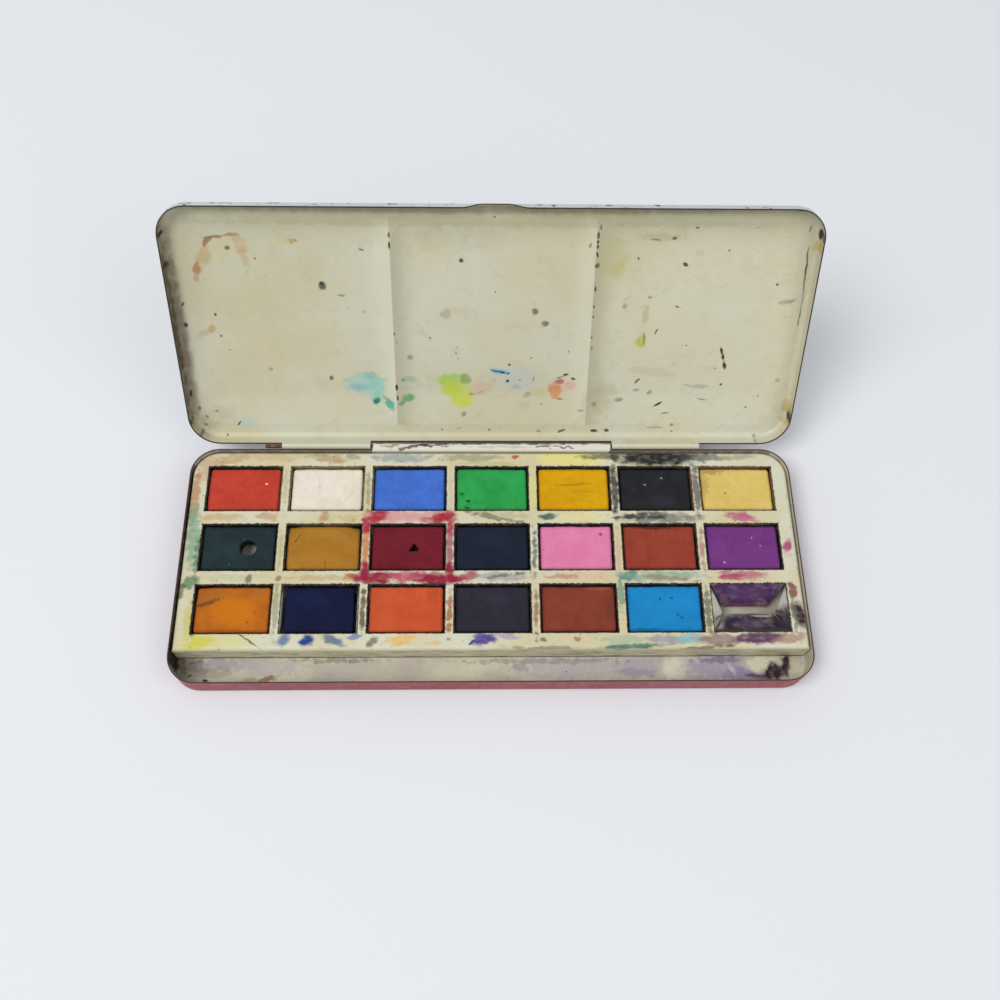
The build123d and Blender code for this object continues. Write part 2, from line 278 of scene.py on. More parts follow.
# %% Marks on the plate
plate_marks = [
    # rear margin: browns, grey, yellow over the yellow cake, black over the black one
    (-112, 39, 6, 6, "B98F5C", 55, 5, 40), (-117, 26, 1.6, 13, "B07A45", 75, 6),
    (-104, 44, 7, 2, "B88E5A", 60, 7, 10), (-86, 44.5, 8, 1.5, "C0A070", 45, 8),
    (-66, 44.3, 7, 2, "A88A58", 70, 7, -8), (-56, 45, 3, 1, "7A6A50", 50, 8),
    (-36, 44.5, 12, 1.8, "8E9AA0", 75, 8), (-8, 44.6, 12, 1.5, "97906E", 70, 8),
    (-2, 42, 12, 0.9, "A9B26A", 50, 6), (9.5, 44.9, 1.5, 1, "B8402C", 90, 4),
    (33, 44.2, 15, 3.2, "E0D67C", 85, 3), (67, 44.4, 17, 3.6, "262528", 100, 3),
    (44, 45.2, 8, 1.4, "4E4E48", 75, 8), (86, 44.8, 8, 2, "4A4A48", 70, 8),
    (96, 44.5, 12, 1.2, "8C8C7C", 60, 9, 4), (50, 45, 1.5, 3, "4A4A44", 80, 6),
    # ribs between the first and second rows
    (-106, 18.4, 9, 1.6, "C09A6C", 60, 8), (-88, 18.8, 4.5, 1.5, "B88A58", 65, 8),
    (-66, 18.3, 3, 1.6, "B08050", 70, 6, 60), (-56, 18, 4, 1.4, "C0A46C", 50, 7),
    (-33, 18.4, 17, 2.6, "D08C98", 80, 6), (-45, 18, 4.4, 2.6, "A81E3C", 97, 6, 20),
    (-20, 18, 6.4, 2.6, "A32039", 100, 5, 12), (-49, 18, 2, 3, "B04058", 80, 8),
    (1, 18.2, 10, 1, "55584E", 70, 10, -12), (8, 18.8, 6, 1.2, "9FB08C", 60, 8),
    (22.2, 18.6, 3.6, 1.3, "24503A", 90, 4, 6), (36, 18.4, 10, 1.8, "DDD68C", 65, 6),
    (66, 18, 16, 2.4, "74746E", 85, 7), (60, 18.6, 9, 1.3, "333335", 90, 8),
    (98, 18.6, 5.5, 1.6, "B0506E", 90, 5, -4), (101, 17.2, 4, 1, "C46C88", 90, 5, -6),
    # upright ribs
    (-81.9, 31, 1.2, 8, "B7A478", 50, 9), (-49.1, 30, 0.8, 9, "8C8468", 60, 10),
    (-16.4, 30, 0.8, 9, "B8B090", 40, 10), (16.4, 30, 1.3, 8, "D6CF80", 70, 8),
    (49.1, 31, 1.5, 13, "3A3938", 95, 6), (81.9, 31, 1.5, 11, "5C5C58", 85, 7),
    (-81.9, 6, 1, 9, "A9A980", 60, 10), (-49.1, 7, 1.5, 10, "C27A48", 90, 4),
    (-49.1, -5, 1.8, 4.5, "981E36", 100, 4), (-49.1, 15, 1.8, 3.4, "A8243F", 95, 5),
    (-16.4, 6, 1.5, 11, "9A5560", 90, 5), (-16.4, -4, 1.8, 3.6, "8E1C34", 100, 4),
    (-16.4, 14, 1.5, 3, "A8243F", 85, 5), (16.4, 4, 0.9, 9, "3F4238", 75, 13),
    (49.1, 4, 1, 9, "C2A58E", 60, 9), (81.9, 4, 0.9, 8, "A04C58", 60, 13),
    (-81.9, -20, 1.1, 9, "8F926F", 70, 10), (-49.1, -20, 1, 9, "5A3A28", 85, 11),
    (-16.4, -20, 1, 9, "A06038", 85, 11), (16.4, -20, 0.9, 9, "7E4A3A", 70, 12),
    (49.1, -14, 1.3, 6, "5E8A7C", 70, 9), (81.9, -20, 1.3, 9, "586454", 80, 10),
    # ribs between the second and third rows
    (-98, -6.8, 12, 1.4, "B7BC94", 60, 8), (-93, -7.2, 1.8, 1.1, "6F6848", 80, 5, 60),
    (-82, -7, 1.4, 1.2, "7A6C44", 80, 5, 60), (-66, -6.8, 12, 1.2, "B9A070", 60, 9),
    (-54, -6.6, 3.5, 1.5, "C08A48", 85, 7), (-45, -7, 9, 2.6, "901A36", 100, 4),
    (-30, -6.6, 10, 2.4, "B84A60", 95, 5), (-20, -7.4, 9, 2.6, "901A36", 100, 4),
    (-9, -6.4, 4, 2, "A03048", 90, 6, 10), (4, -6.8, 11, 1.8, "9A96A0", 70, 9),
    (4, -6.2, 9, 0.6, "5E5C64", 70, 11, 8), (34, -6.6, 14, 1.6, "D8B49A", 60, 9),
    (27, -6.6, 6, 1, "9C6048", 50, 12), (64, -6.5, 16, 2.2, "7FA090", 75, 8),
    (53, -6, 4, 2, "4E8A7C", 80, 7, 30), (68, -7.2, 10, 0.9, "9A7A5C", 70, 9, -6),
    (96, -6.2, 9, 2, "B0687C", 85, 7, -4), (92, -7, 5, 1.2, "A83A58", 80, 7),
    # the side margins
    (-116, 10, 2.6, 13, "6E9E82", 75, 6, 3), (-113.6, 2, 1.2, 9, "3F7A62", 70, 8),
    (-115, -8.5, 3, 2.6, "4C7A50", 80, 6, 30), (-118, -12, 1.2, 3, "30402C", 70, 9),
    (-114, -25, 1.6, 8, "C4BC58", 70, 8, 4), (-103, -32, 14, 3.2, "D2CE8C", 75, 5),
    (-109, -32, 5, 2.4, "CCC43E", 80, 6, 10), (-112.4, -22, 0.9, 8, "4C5A38", 65, 12, 2),
    (115.6, 6, 1.8, 3.2, "A8336C", 90, 4, -20), (115.2, -12.4, 1.8, 3.2, "83382F", 90, 6),
    (116.4, -22, 2.4, 5.4, "33222F", 100, 2, 8), (114.6, -20, 1, 9, "6E6A58", 70, 9),
    # the front margin
    (-91, -31.6, 5.2, 0.35, "4A3C2A", 80, 3, -32), (-78, -31.6, 2.8, 2, "66799C", 95, 4, 40),
    (-69.6, -31.8, 2.9, 2.2, "1C3E88", 100, 3, 30), (-60, -31.6, 4.4, 1.8, "62748E", 95, 5, -24),
    (-52, -30.4, 2.6, 0.9, "5E78A8", 80, 5, 10), (-45, -32.2, 2.2, 1.5, "6E6358", 85, 4, 45),
    (-34, -31.6, 6, 2.2, "E2B45A", 80, 6, 6), (-23, -33, 2.6, 0.8, "D8B060", 60, 6),
    (-3.6, -31.6, 4.8, 2.5, "503A8E", 97, 6, 10), (-8.2, -32.8, 1.6, 0.5, "2C2A2C", 90, 4, 40),
    (5, -30.6, 5, 1, "A090BC", 70, 6, -6), (19, -31.8, 1.2, 1, "5A4C48", 80, 6),
    (31.6, -31.6, 1.4, 1, "9A5030", 80, 5), (52, -34.4, 11, 1, "256E5C", 90, 5, 2),
    (50, -32, 8, 1.8, "A7B49C", 70, 8), (66, -31.8, 7, 1.9, "8C8AA0", 75, 6, -4),
    (74, -31.4, 5, 2.2, "86B8BC", 80, 6), (86, -32, 9, 2.2, "8A706E", 85, 6),
    (101, -31.4, 9, 2.3, "5E3A5A", 100, 4, 4), (112, -31.8, 6, 2, "A4806C", 75, 8, 10),
    (20, -34.8, 10, 0.7, "6A6450", 60, 10), (78, -35, 9, 0.7, "46503C", 70, 9, 3),
]
print("marks on the plate:", len(plate_marks))

# %% Marks below the plate's top
# brown and grey dirt in four of the gaps round the cakes, then painted light under the two worn
# holes
gap_marks = [
    (-65.5, 30.95, 22, 15, "7C6C4A", 90, 2), (98.25, 30.95, 22, 15, "6E5534", 85, 3),
    (-79.6, -20, 0.9, 8.4, "A3A49E", 95, 2), (-51.4, -20, 0.9, 8.4, "A3A49E", 90, 2),
    (-94.6, 5.4, 3.6, 3.6, "E2E0D8", 100, 1), (-30.4, 5.2, 2.4, 2.4, "E2E0D8", 100, 1),
]
# the four bent tabs of the empty window
tab_marks = [
    (98.2, -11.6, 20, 8, "4B2C58", 100, 0.5), (98.2, -12.6, 8, 1.6, "62426E", 60, 6),
    (90, -14, 2.4, 0.9, "7E4E54", 80, 6, -38), (98.2, -15.6, 7, 0.5, "6E4650", 70, 9),
    (104.8, -15.2, 2.2, 0.6, "8E6468", 75, 6), (98.2, -28.4, 20, 9, "2B1C33", 100, 0.5),
    (98, -25.6, 6, 1.6, "5A4460", 60, 7), (103, -22.4, 4.4, 0.45, "B89A80", 85, 4),
    (84.6, -19, 2.8, 6.5, "C8C4B6", 95, 1), (84.4, -25.6, 3, 4, "9C8C92", 90, 3),
    (112.4, -17, 2.6, 6, "B9B4A8", 90, 1), (86.4, -22.2, 2.6, 0.4, "4A3A3C", 80, 4, 48),
    (111.2, -24.4, 5.4, 5.6, "2A1B2C", 97, 2.5), (109.4, -20, 3, 0.5, "3A2A38", 85, 4, -40),
]
print("marks below the top:", len(gap_marks) + len(tab_marks))

# %% The plate's enamel
plate_enamel, add, shader = start_material("worn_cream_enamel_plate")
point = millimetre_point(add)
wander = wandering_point(add, point, 3, 1.6)
# brush strokes run along the ribs, so the ragged noise is drawn out from side to side
along_strokes = add("VectorMath MULTIPLY", point, (0.6, 1, 1))
rough = rough_value(add, along_strokes, 2.2, height=0.5)
x, y, z = add("SeparateXYZ", point).node.outputs

# cream that yellows and greys in patches some 30 mm across, with a finer mottle
patches = add("TexNoise", point, Scale=1 / 30, Detail=3)
smears = add("TexNoise", point, Scale=1 / 5, Detail=6, Roughness=0.7, Distortion=0.8)
cream = two_tone(add, patches, 0.4, 0.62, "D3D2BC", "CFC5A0")
cream = two_tone(add, smears, 0.56, 0.72, cream, "9C9474", most=0.5)
painted = lay_marks(add, cream, wander, rough, plate_marks)

# distance outside the nearest window, in mm: the ribs wrap round at the windows' pitch
# with no window beyond the last one
def outside_windows(add, place, pitch, last, half):
    from_line = add("ABSOLUTE", add("WRAP", place, pitch / 2, -pitch / 2))
    from_last = add("SUBTRACT", add("ABSOLUTE", place), last)
    return add("SUBTRACT", add("MAXIMUM", from_line, from_last), half)

from_middle = add("SUBTRACT", y, grid_y)
to_edge = add("MAXIMUM", outside_windows(add, x, pitch_x, 3 * pitch_x, window_half_x),
              outside_windows(add, from_middle, pitch_y, pitch_y, window_half_y))

# chips and painted shade along the window edges, browner beside the two browned cakes, and two
# sizes of speck
edge_noise = add("TexNoise", point, Scale=1 / 1.3, Detail=5, Roughness=0.75)
bare_steel_and_shade = lay_marks(add, "3A332B", point, rough, gap_marks[:2])
edge_wear_and_shade = add("MULTIPLY_ADD", edge_noise, -1.6, add("ADD", to_edge, 0.92))
painted = two_tone(add, edge_wear_and_shade, 0.16, -0.04, painted, bare_steel_and_shade)
painted = lay_specks(add, painted, wander, 3.2, 0.3, 0.2, "3B362C")
painted = lay_specks(add, painted, point, 1.9, 0.22, 0.16, "2E2920")

# near black below the top, dried paint with painted shade, and its own paint in the empty window
depth = add("SUBTRACT", plate_top - 0.12, z)
gap_residue_shade_and_light = two_tone(add, smears, 0.5, 0.8, "171310", "5E5038")
gap_residue_shade_and_light = lay_marks(add, gap_residue_shade_and_light, point, rough, gap_marks)
in_gap = add("MapRange", add("MULTIPLY_ADD", edge_noise, -0.5, depth), -0.15, 0.15)
inside_x = distance_from(add, x, open_x)
inside_y = distance_from(add, y, open_y)
in_open = add("MULTIPLY", add("LESS_THAN", inside_x, window_half_x + 0.1),
              add("LESS_THAN", inside_y, window_half_y + 0.1))
old_purple = lay_marks(add, "C2BEB1", wander, rough, tab_marks)
deep = add("MixRGB", in_open, gap_residue_shade_and_light, old_purple)

# the outer walls of the plate stay cream, with dark streaks, and darker towards the bottom where
# they meet the tray
off_centre = distance_from(add, y, grid_y)
outer_wall = add("MAXIMUM",
                 add("GREATER_THAN", add("ABSOLUTE", x), outer_wall_x),
                 add("GREATER_THAN", off_centre, outer_wall_y))
in_gap = add("MULTIPLY", in_gap, add("SUBTRACT", 1, outer_wall))
painted = add("MixRGB", in_gap, painted, deep)
long_streaks = streak_noise(add, point, (0.12, 0.6, 0.6), Detail=4, Roughness=0.6)
low_streaks = add("MULTIPLY_ADD", long_streaks, -3, z)
wall_cream = two_tone(add, long_streaks, 0.5, 0.64, "DAD6B8", "7A7350", most=0.6)
wall_cream = two_tone(add, low_streaks, 1.2, -0.4, wall_cream, "3A3226", most=0.9)
below_bend = add("MapRange", z, plate_top - 0.5, plate_top - 1.4)
painted = add("MixRGB", add("MULTIPLY", outer_wall, below_bend), painted, wall_cream)

dents = add("TexNoise", point, Scale=1 / 18, Detail=2)
skin = add("MULTIPLY_ADD", rough, 0.02, add("MULTIPLY", dents, 0.6))
gloss = add("MapRange", smears, 0.35, 0.75, 0.34, 0.62)
finish_surface(add, shader, painted, gloss, skin, depth=0.6 * MM, strength=0.6, specular=0.25)
coat_part("pan_plate", plate_enamel)

# %% [markdown]
# ## The tray: cream inside, dusty rose outside
# The tray is pressed from sheet that was enamelled cream on one face and rose on the other. The two
# faces are told apart by how far a point lies from the tray's round-cornered outline, so that the
# change follows the sheet round every bend. The rim is the cut edge: a dark line of bare steel. The
# rear wall's knuckle is the cream face rolled outward. Paint water has dried mauve in the trough.

# %% Marks in the tray
tray_marks = [
    (-104, -38, 12, 2.8, "9A909C", 70, 5), (-108, -41, 9, 2.2, "958F82", 60, 6),
    (-84, -39, 11, 3.4, "B2A6AC", 60, 5), (-85, -43.6, 3.4, 1.2, "94622E", 85, 6, 10),
    (-92, -44.4, 4, 1, "A58A62", 60, 8), (-113.6, -42.4, 1.3, 0.5, "26221E", 95, 3, 20),
    (-108, -43.9, 1, 0.45, "26221E", 95, 3), (-112, -37, 2.6, 0.4, "3C3830", 80, 6, 20),
    # these two darken the trough by its left wall: dirt with painted shade
    (-117.4, -41, 1.6, 6, "6A6254", 60, 7, 10), (-119.6, -38, 0.9, 10, "1F1613", 97, 3),
    (-50, -40, 24, 4, "B4AAA4", 55, 6), (10.4, -39.6, 3.4, 1.6, "8A7C94", 80, 6),
    (30, -39.6, 22, 4.4, "B2A7B0", 75, 5), (56, -39, 10, 3.8, "AA9FAE", 75, 5),
    (54, -42, 7, 1.6, "988CA2", 60, 7), (69, -40, 5, 4.8, "D6D1BC", 95, 3),
    (86, -40, 13, 5, "A095AC", 85, 4), (96, -42, 8, 2.8, "8E80A2", 80, 6),
    (88, -36.8, 10, 1.2, "7C6A84", 70, 7), (91, -40, 0.6, 3.4, "C8C4D0", 70, 6, 30),
    (103, -38.6, 6.4, 3, "D4CEB6", 97, 4), (107.4, -41.4, 4.2, 3.6, "2E1C2A", 100, 3.5, 20),
    (112.2, -38.6, 2, 4.4, "301E2B", 100, 3.5, -8), (100.6, -43.4, 3.6, 1, "4E3648", 85, 6, -8),
    (116, -41, 3, 3, "CEC6AE", 70, 5), (96, -44.8, 7, 1.4, "9688A4", 80, 6),
    (112.6, -33.4, 7, 0.35, "1E1818", 90, 3, 2), (-60, -36.4, 14, 0.8, "6E6758", 50, 8),
    (-113, -38, 5, 3.4, "746A5E", 60, 7), (20, -37, 30, 1, "857C78", 50, 8),
    # the wall above the plate is dark on the left, dirt with painted shade, and grey at the rear
    (-119.5, 4, 1.2, 64, "2E2822", 95, 1.5), (0, 47.5, 140, 0.9, "5A5346", 65, 4),
    # painted light on the floor under the two cakes that are worn through
    (-94.6, 5.4, 6, 6, "F2F0E8", 100, 0), (-30.4, 5.2, 5, 5, "F2F0E8", 100, 0),
]
knuckle_marks = [
    (-41, 49.2, 4, 0.7, "8A6A4C", 70, 6), (-30, 49.2, 9, 0.5, "54382A", 85, 7, 6),
    (-22, 49.5, 8, 0.4, "3E2C22", 80, 8), (21, 49.4, 3.4, 0.5, "4A443C", 80, 8, 4),
    (29, 49, 4, 0.4, "3A342E", 80, 8, -4), (5, 49, 12, 0.4, "B0A894", 60, 8),
    # painted shadow: black in the gap behind the knuckle, under the lid's cut edge, along the rear
    # and down both ends
    (0, 51, 60, 0.9, "1E1A17", 97, 1.5), (-48.6, 50, 0.7, 4, "1E1A17", 97, 2),
    (48.6, 50, 0.5, 4, "1E1A17", 97, 2),
]
print("marks in the tray:", len(tray_marks) + len(knuckle_marks))

# %% The reach of a round-cornered outline
def past(add, place, limit):
    return add("MAXIMUM", add("SUBTRACT", place, limit), 0)

def length_of(add, over_x, over_y):
    return add("VectorMath LENGTH", add("CombineXYZ", over_x, over_y), out="Value")

def reach_from_corner(add, x, y, half_x, half_y, corner):
    over_x = past(add, add("ABSOLUTE", x), half_x - corner)
    over_y = past(add, add("ABSOLUTE", y), half_y - corner)
    return length_of(add, over_x, over_y)

tray_half_x, tray_half_y, tray_corner = 120, 48, 11
tray_bend, sheet, rim = 1.5, 0.4, 12
knuckle_half, knuckle_root = 48.5, 2.5
print("the tray's outline has corners of", tray_corner, "mm")

# %% The tray's enamel
tray_enamel, add, shader = start_material("two_sided_enamel_tray")
point = millimetre_point(add)
wander = wandering_point(add, point, 3, 2.2)
rough = rough_value(add, point, 2.2, height=0.55)
x, y, z = add("SeparateXYZ", point).node.outputs

corner_reach = reach_from_corner(add, x, y, tray_half_x, tray_half_y, tray_corner)
into_bend = past(add, corner_reach, tray_corner - tray_bend)
skin_reach = length_of(add, into_bend, past(add, tray_bend, z))
outside = add("GREATER_THAN", skin_reach, tray_bend - sheet / 2)
on_knuckle = add("MULTIPLY", add("GREATER_THAN", y, tray_half_y - sheet),
                 add("GREATER_THAN", z, rim - knuckle_root + 0.05))
near_middle = add("LESS_THAN", add("ABSOLUTE", x), knuckle_half + 0.05)
on_knuckle = add("MULTIPLY", on_knuckle, near_middle)
off_knuckle = add("SUBTRACT", 1, on_knuckle)

patches = add("TexNoise", point, Scale=1 / 25, Detail=4)
smears = add("TexNoise", point, Scale=1 / 4, Detail=6, Roughness=0.7, Distortion=1)
cream = two_tone(add, patches, 0.4, 0.6, "CCC6B0", "B9B0A2")
cream = two_tone(add, smears, 0.55, 0.75, cream, "8E867A", most=0.55)
inside = lay_marks(add, cream, wander, rough, tray_marks)
# the knuckle's cream with its stains, and the painted shadow of the gap behind it
knuckle = lay_marks(add, "DAD6C6", wander, rough, knuckle_marks)
inside = add("MixRGB", on_knuckle, inside, knuckle)

rose = two_tone(add, patches, 0.35, 0.65, "943E46", "9C4A53")
rose = two_tone(add, smears, 0.6, 0.72, rose, "6B2C32", most=0.5)
low_smears = add("MULTIPLY_ADD", smears, -4, z)
rose = two_tone(add, low_smears, -1.2, -2, rose, "57383A")
both_faces = add("MixRGB", add("MULTIPLY", outside, off_knuckle), inside, rose)

ragged_height = add("MULTIPLY_ADD", rough, 0.08, z)
rim_line = add("MapRange", ragged_height, rim - 0.34, rim - 0.22)
rim_line = add("MULTIPLY", rim_line, off_knuckle)
painted = add("MixRGB", rim_line, both_faces, "43302A")
painted = lay_specks(add, painted, wander, 3.4, 0.4, 0.16, "35302A")
skin = add("MULTIPLY_ADD", rough, 0.02, add("MULTIPLY", patches, 0.6))
gloss = add("MapRange", smears, 0.35, 0.75, 0.36, 0.66)
finish_surface(add, shader, painted, gloss, skin, depth=0.6 * MM, strength=0.5, specular=0.25)
coat_part("base_tray", tray_enamel)

# %% [markdown]
# ## The lid: an enamelled mixing palette
# The lid is cream enamel inside, dished into three wells, and pale enamel outside. It is easiest to
# describe closed, so the material first turns each point back about the hinge. There the wells, the
# two creased ribs, the ledge and the skirt have simple places, and the mixed colours are marks in
# the same millimetres. The face's own normal tells the inside from the outside.

# %% Marks in the lid's left well
left_well = [
    # a thin wash over the far corner, a brown arc with an ochre fill, then spots
    (-92, -24, 36, 24, "B5B28C", 35, 2), (-99.4, -30.4, 5.4, 3.4, "CBB88C", 50, 4, -8),
    (-107.4, -27, 2.3, 5, "B9975A", 55, 4, 23), (-110, -22.6, 1.2, 2.6, "A96A40", 75, 7, 10),
    (-110.4, -19.6, 1.2, 1.8, "A88850", 60, 5, 10),
    (-104.8, -33.2, 2.2, 0.8, "8A5C36", 75, 7, -42),
    (-100.6, -34.9, 3.8, 0.55, "8A5A36", 75, 6, -5), (-96, -35.6, 3.4, 0.7, "A66C44", 75, 5, -5),
    (-93, -32.4, 2.4, 3.4, "BE9C68", 55, 5, -20), (-92.2, -27.6, 1.4, 4.2, "BD9A6C", 50, 6, -24),
    (-97.9, -30.6, 0.9, 0.7, "55503F", 85, 2), (-73.6, -33.6, 2, 0.7, "9C8240", 80, 4),
    (-76, -33.2, 3.2, 1.6, "C8BC86", 50, 4), (-48.6, -30.2, 0.9, 0.3, "3A382E", 90, 3, 24),
    (-49, -5.4, 0.7, 0.6, "A8A68E", 70, 4), (-64.1, -15.8, 1.5, 1.8, "4C4B42", 95, 2),
    (-64.4, -16.8, 0.8, 0.6, "24241F", 90, 3), (-57.3, -11.9, 1.3, 0.35, "77745F", 70, 4),
    (-105.8, -4, 0.55, 0.55, "1E1D18", 95, 2), (-107.6, 1.6, 1.5, 1.8, "B29A58", 70, 5, 10),
    (-111.4, 3.4, 2, 1, "ACA67E", 50, 5, -10), (-104.5, 4.8, 0.5, 0.5, "4A463A", 85, 3),
    (-101.9, 10.9, 0.45, 0.4, "77705A", 70, 3), (-87, 19, 0.9, 0.8, "8A8674", 80, 3),
    (-63.6, 22.6, 0.9, 0.9, "4E4A42", 85, 3), (-80, 10, 12, 9, "C5BC98", 35, 4, 20),
    (-98, 22, 12, 14, "C3B88F", 35, 4),
    # thin teal with a dark drop, green beside it
    (-50.6, 26, 6.6, 4.6, "98C6BA", 80, 3.5, 14), (-53.4, 27, 4, 1.7, "86AFBA", 65, 5),
    (-45.4, 25.4, 3.4, 4, "84C0B2", 70, 4, 20), (-48.2, 21.7, 2.4, 1.5, "88B4A8", 65, 5),
    (-56.6, 23.6, 2.2, 0.9, "A2BCA6", 60, 6, -20), (-46.6, 31.2, 2.2, 2.4, "64BFAE", 70, 4),
    (-46.3, 32.5, 1.25, 1.6, "0C7560", 97, 2, 10), (-40.9, 34.2, 2, 1.5, "41AD86", 90, 5, 40),
    (-42.4, 31.2, 1.8, 0.8, "6CA494", 80, 6, 36), (-98.6, 41.8, 4, 1.6, "A9C6BC", 80, 4, 4),
    (-101.9, 42.4, 1.1, 0.3, "26383C", 90, 4, -56), (-117.2, 35.6, 0.8, 0.9, "3E4A3C", 85, 4),
    (-110.5, 37, 0.6, 0.5, "3C4438", 85, 3), (-114.4, 39.2, 0.9, 0.5, "3A4036", 85, 3, 40),
    (-109, 38.6, 5, 3.6, "B5B39C", 50, 5), (-107.3, 47.4, 0.5, 0.4, "3C382E", 85, 2),
]
print("marks in the left well:", len(left_well))

# %% Marks in the lid's middle well
middle_well = [
    (-32.7, 23.1, 2.9, 1.6, "9AB294", 70, 4), (-34.9, 23.2, 0.4, 0.4, "2A2A26", 90, 2),
    (-33.4, 31.1, 2.4, 1.8, "5A9C54", 92, 2.5, -6), (-36, 33.4, 1.4, 0.9, "5C9070", 75, 4, -10),
    (-32.1, 13.7, 1.1, 1.2, "91806E", 75, 3), (-24.1, 5.5, 0.4, 0.4, "26241E", 90, 2),
    (-18.1, -4.7, 1.9, 1.8, "A9A28E", 70, 4), (-11.8, -26.1, 0.7, 0.7, "3C3B34", 95, 2),
    (-13.7, 9.6, 0.8, 0.6, "77745F", 75, 5, -30), (-14.2, 12, 0.5, 0.4, "5C594A", 70, 3),
    # lime running into yellow, a pink smear
    (-16.2, 23.6, 5.4, 2.6, "9CC447", 88, 3.5), (-10.7, 23.2, 2.2, 1.9, "8A9B50", 80, 5),
    (-14, 28, 6, 3.4, "BACA30", 90, 3.5, 12), (-11.8, 32.6, 3.8, 3.4, "C0CC36", 90, 3.5),
    (-8.6, 30.6, 3.6, 2.2, "C8C860", 60, 5, -20), (-11.2, 38.2, 1, 1.1, "8B8B62", 85, 3),
    (-4.4, 27.4, 4.8, 2.6, "CAAB9C", 60, 5, -24), (-4.6, 28.9, 4, 0.5, "B98C7C", 70, 8, -22),
    (-8.5, 29.8, 1.1, 0.8, "B87D40", 80, 5), (0.8, 23.6, 1.1, 0.8, "C8988C", 60, 5),
    # blue strokes in a pale wash
    (10.4, 23.2, 9, 5, "B5C0BD", 60, 4), (3.2, 20, 3.4, 1.3, "7FB0C4", 85, 4, 10),
    (2.6, 19.8, 2.4, 0.35, "15506C", 95, 6, 14), (4.4, 20.6, 0.8, 0.4, "103A50", 90, 4),
    (6.9, 16.7, 0.5, 0.5, "1E1D1A", 95, 2), (6.5, 24, 0.6, 0.5, "1E1D1A", 95, 2),
    (6.7, 20.6, 0.6, 0.4, "33404A", 90, 3), (11.1, 23.6, 0.5, 0.3, "26323A", 90, 3),
    (16.6, 23.4, 0.4, 1.2, "4C5450", 75, 8, 20), (15.3, 14, 0.5, 0.4, "1E1D1A", 95, 2),
    (30.1, 11, 0.35, 0.6, "5A584A", 80, 3), (9.6, 26.6, 1.6, 1, "9CAAA8", 60, 6, 30),
    # orange with a red-brown edge
    (26.2, 27.6, 4.2, 3.6, "D3A880", 60, 4), (25.2, 28.2, 2.9, 3, "CE7C4A", 85, 4, -20),
    (27, 24.2, 2.2, 1.2, "A8604C", 85, 5, -24), (28, 21.8, 3.4, 0.4, "66493C", 75, 8, -18),
    (29.6, 21.1, 1, 0.35, "221C18", 95, 3, -15), (32.2, 22.5, 0.9, 0.5, "2E2620", 90, 4, 10),
    (27.4, 31.7, 1.4, 0.55, "AE552A", 90, 3, 8), (31.4, 25.6, 2, 1.8, "CFA294", 60, 5),
    (18.9, 29.2, 3.8, 2.2, "BEB98A", 60, 5), (14.2, 29.8, 1.9, 1, "9B9A8A", 70, 5, -35),
    (13.6, 34.2, 3, 1.5, "BDB1A4", 55, 5, -10), (36.2, 36.4, 1.7, 0.7, "8E8D80", 75, 4, 8),
    (16.4, -5.7, 1.25, 1.25, "5D5D50", 97, 1.5), (20.4, -0.7, 1.6, 1.3, "5D5D50", 97, 1.5),
    (35.8, -32.5, 0.5, 1.3, "7C6A2C", 85, 3, 10), (20, 34, 0.6, 0.5, "8E7C60", 70, 3),
    (-20.2, 45, 0.5, 0.4, "55503F", 85, 2), (-13.2, 44.3, 1.1, 0.6, "A5A391", 70, 5, -20),
    (-1.1, 45.3, 0.7, 0.5, "55513F", 85, 3), (28.4, 45.8, 1.4, 0.6, "4E4A3A", 85, 4, -20),
    (19.1, 45.8, 0.9, 0.5, "8C845C", 75, 4), (-12, -34, 18, 5, "B7B08E", 35, 4),
]
print("marks in the middle well:", len(middle_well))

